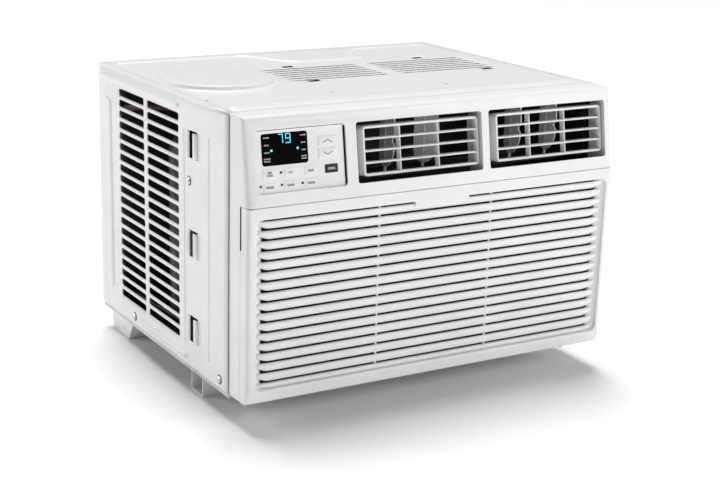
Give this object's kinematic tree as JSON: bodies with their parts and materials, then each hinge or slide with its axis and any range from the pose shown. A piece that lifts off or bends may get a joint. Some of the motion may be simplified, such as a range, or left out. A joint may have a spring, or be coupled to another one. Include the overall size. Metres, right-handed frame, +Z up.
{
  "type": "window air conditioner",
  "caption": "Window air conditioner with a louvred steel cabinet, tilting intake grille, two air outlets, control panel and working fans.",
  "frame": {"origin": "under the middle of the unit, on the surface that its sill rail and rear feet stand on", "axes": "+Z up, -Y towards the room, +X to the right of someone facing the front"},
  "size_m": [0.5646, 0.4786, 0.401],
  "materials": {
    "black_paint": "semi-gloss",
    "black_plastic": "moulded",
    "black_rubber": "matte",
    "button_cap": "satin",
    "button_power_cap": "satin",
    "cabinet_paint": "satin powder coat",
    "capacitor_can": "drawn",
    "circuit_board": "solder mask",
    "coil_fins": "mill",
    "copper_tube": "drawn copper",
    "display_glass": "gloss",
    "front_plastic": "satin",
    "galvanised_steel": "galvanised",
    "grey_plastic": "moulded",
    "louver_plastic": "satin",
    "screw_steel": "satin",
    "shaft_steel": "ground",
    "white_foam": "expanded foam"
  },
  "bodies": {
    "cabinet": {"accumulator": "black_paint", "base_pan": "galvanised_steel", "blower_housing": "white_foam", "bulkhead": "galvanised_steel", "cabinet_wrap": "cabinet_paint", "capillary_tube": "copper_tube", "compressor": "black_paint", "compressor_grommet_1": "black_rubber", "compressor_grommet_2": "black_rubber", "compressor_grommet_3": "black_rubber", "condenser_coil": "coil_fins", "control_box": "galvanised_steel", "control_panel": "front_plastic", "cord_gland": "black_rubber", "discharge_pipe": "copper_tube", "display_board": "circuit_board", "display_window": "display_glass", "drain_plug": "black_rubber", "evaporator_coil": "coil_fins", "fan_motor": "black_paint", "fan_shroud": "black_plastic", "front_bezel": "front_plastic", "motor_bracket": "galvanised_steel", "outlet_duct": "grey_plastic", "rear_foot_left": "cabinet_paint", "rear_foot_right": "cabinet_paint", "rear_guard": "cabinet_paint", "run_capacitor": "capacitor_can", "side_screw_left_1": "screw_steel", "side_screw_left_2": "screw_steel", "side_screw_left_3": "screw_steel", "side_screw_right_1": "screw_steel", "side_screw_right_2": "screw_steel", "side_screw_right_3": "screw_steel", "sill_rail": "galvanised_steel", "suction_pipe": "copper_tube", "terminal_cover": "black_plastic"},
    "grille": {"intake_grille": "front_plastic"},
    "filter": {"air_filter": "grey_plastic"},
    "louver_left": {"louver_left": "louver_plastic"},
    "vane_left_1": {"vane_left_1": "louver_plastic"},
    "vane_left_2": {"vane_left_2": "louver_plastic"},
    "louver_right": {"louver_right": "louver_plastic"},
    "vane_right_1": {"vane_right_1": "louver_plastic"},
    "vane_right_2": {"vane_right_2": "louver_plastic"},
    "button_up": {"button_up": "button_cap"},
    "button_down": {"button_down": "button_cap"},
    "button_power": {"button_power": "button_power_cap"},
    "button_fan_speed": {"button_fan_speed": "button_cap"},
    "button_eco": {"button_eco": "button_cap"},
    "button_mode": {"button_mode": "button_cap"},
    "button_filter": {"button_filter": "button_cap"},
    "button_sleep": {"button_sleep": "button_cap"},
    "button_timer": {"button_timer": "button_cap"},
    "fans": {"fan_shaft": "shaft_steel", "blower_wheel": "grey_plastic", "condenser_fan": "black_plastic"}
  },
  "joints": [
    {"name": "grille_tilt", "type": "hinge", "parent": "cabinet", "child": "grille", "pos_m": [0, -0.22325, 0.0415], "axis": [1, 0, 0], "range_deg": [0, 40]},
    {"name": "filter_slide", "type": "slide", "parent": "grille", "child": "filter", "axis": [0, 0, 1], "range_m": [0, 0.012]},
    {"name": "louver_left_tilt", "type": "hinge", "parent": "cabinet", "child": "louver_left", "pos_m": [-0.0295, -0.20769, 0.33615], "axis": [1, 0, 0], "range_deg": [-15, 15]},
    {"name": "vane_left_1_swing", "type": "hinge", "parent": "cabinet", "child": "vane_left_1", "pos_m": [-0.04083, -0.16375, 0.3435], "axis": [0, 0, 1], "range_deg": [-35, 35]},
    {"name": "vane_left_2_swing", "type": "hinge", "parent": "cabinet", "child": "vane_left_2", "pos_m": [0.01783, -0.16375, 0.3435], "axis": [0, 0, 1], "range_deg": [-65, 5]},
    {"name": "louver_right_tilt", "type": "hinge", "parent": "cabinet", "child": "louver_right", "pos_m": [0.171, -0.20769, 0.33615], "axis": [1, 0, 0], "range_deg": [-15, 15]},
    {"name": "vane_right_1_swing", "type": "hinge", "parent": "cabinet", "child": "vane_right_1", "pos_m": [0.15917, -0.16375, 0.3435], "axis": [0, 0, 1], "range_deg": [-35, 35]},
    {"name": "vane_right_2_swing", "type": "hinge", "parent": "cabinet", "child": "vane_right_2", "pos_m": [0.21883, -0.16375, 0.3435], "axis": [0, 0, 1], "range_deg": [-35, 35]},
    {"name": "button_up_press", "type": "slide", "parent": "cabinet", "child": "button_up", "axis": [0, 0.9878, -0.1555], "range_m": [0, 0.0008], "stiffness_N_per_m": 600, "springref_m": -0.0005},
    {"name": "button_down_press", "type": "slide", "parent": "cabinet", "child": "button_down", "axis": [0, 0.9878, -0.1555], "range_m": [0, 0.0008], "stiffness_N_per_m": 600, "springref_m": -0.0005},
    {"name": "button_power_press", "type": "slide", "parent": "cabinet", "child": "button_power", "axis": [0, 0.9878, -0.1555], "range_m": [0, 0.0008], "stiffness_N_per_m": 600, "springref_m": -0.0005},
    {"name": "button_fan_speed_press", "type": "slide", "parent": "cabinet", "child": "button_fan_speed", "axis": [0, 0.9878, -0.1555], "range_m": [0, 0.0008], "stiffness_N_per_m": 600, "springref_m": -0.0005},
    {"name": "button_eco_press", "type": "slide", "parent": "cabinet", "child": "button_eco", "axis": [0, 0.9878, -0.1555], "range_m": [0, 0.0008], "stiffness_N_per_m": 600, "springref_m": -0.0005},
    {"name": "button_mode_press", "type": "slide", "parent": "cabinet", "child": "button_mode", "axis": [0, 0.9878, -0.1555], "range_m": [0, 0.0008], "stiffness_N_per_m": 600, "springref_m": -0.0005},
    {"name": "button_filter_press", "type": "slide", "parent": "cabinet", "child": "button_filter", "axis": [0, 0.9878, -0.1555], "range_m": [0, 0.0008], "stiffness_N_per_m": 600, "springref_m": -0.0005},
    {"name": "button_sleep_press", "type": "slide", "parent": "cabinet", "child": "button_sleep", "axis": [0, 0.9878, -0.1555], "range_m": [0, 0.0008], "stiffness_N_per_m": 600, "springref_m": -0.0005},
    {"name": "button_timer_press", "type": "slide", "parent": "cabinet", "child": "button_timer", "axis": [0, 0.9878, -0.1555], "range_m": [0, 0.0008], "stiffness_N_per_m": 600, "springref_m": -0.0005},
    {"name": "fan_spin", "type": "hinge", "parent": "cabinet", "child": "fans", "pos_m": [0.06, 0.02725, 0.166], "axis": [0, 1, 0], "continuous": true}
  ]
}
